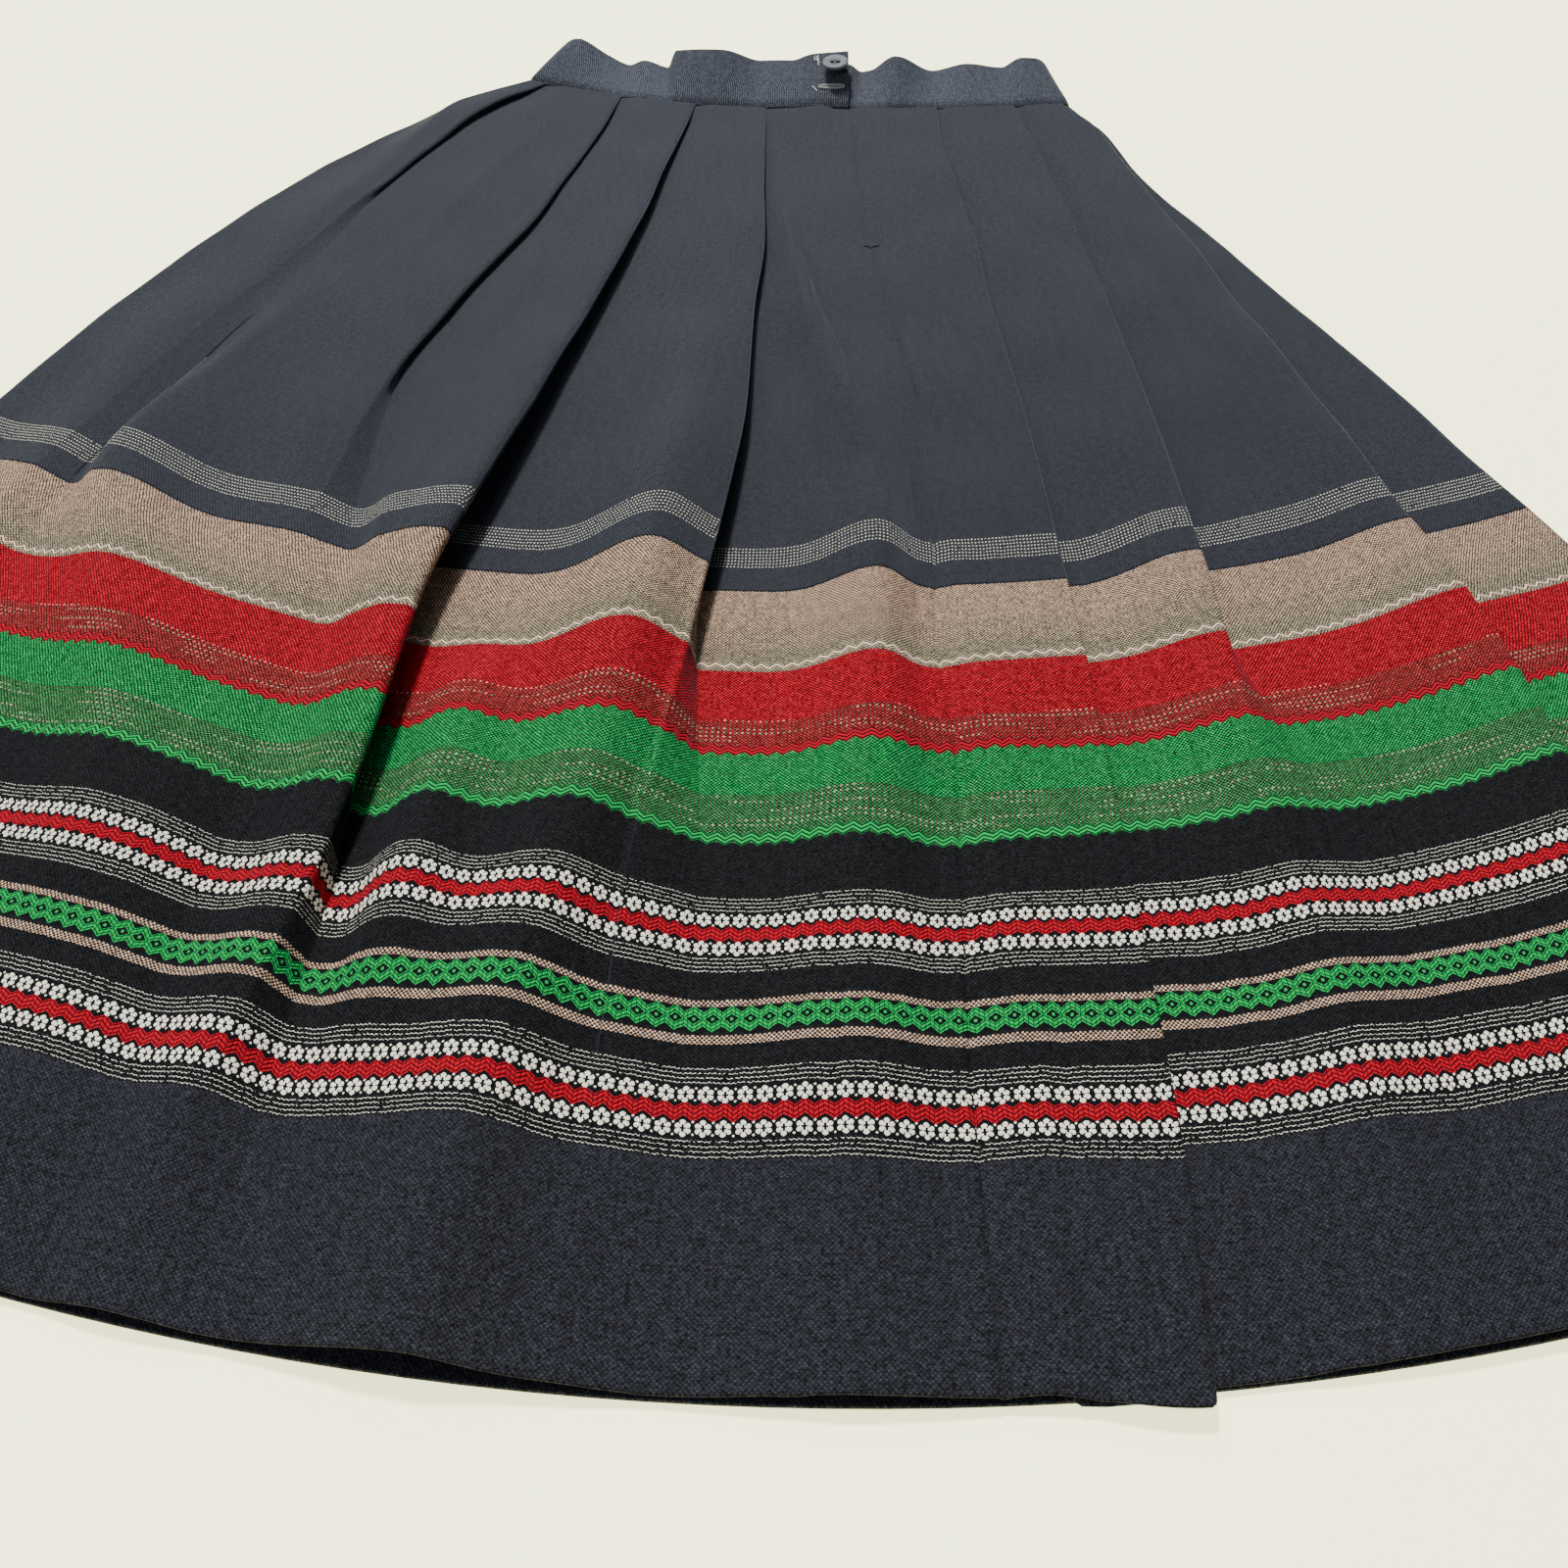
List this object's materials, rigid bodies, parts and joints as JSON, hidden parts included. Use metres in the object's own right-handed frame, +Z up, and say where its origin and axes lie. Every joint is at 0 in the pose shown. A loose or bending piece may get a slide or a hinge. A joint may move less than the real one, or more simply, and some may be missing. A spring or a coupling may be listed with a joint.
{
  "type": "pleated skirt",
  "caption": "Knee-length wool skirt with knife pleats, a waistband and a back closure, laid flat with its back upwards; woven stripes run round it above the hem.",
  "frame": {"origin": "on the surface that the skirt lies on, under the middle of its box", "axes": "+Y towards the waist, +X to the right as the back is seen with the waist away from the viewer, +Z up"},
  "size_m": [0.805, 0.8406, 0.0296],
  "materials": {
    "pleated_wool": "navy wool with woven stripes above the hem, matt with a faint sheen",
    "band_wool": "plain navy wool, matt, stiffened",
    "button_horn": "grey, dished, satin",
    "zip_tape": "dark woven tape with a fine closed chain"
  },
  "bodies": {
    "root": {"back_left": "pleated_wool", "back_right": "pleated_wool", "front": "pleated_wool", "waistband": "band_wool", "button": "button_horn", "zip": "zip_tape"}
  },
  "joints": []
}
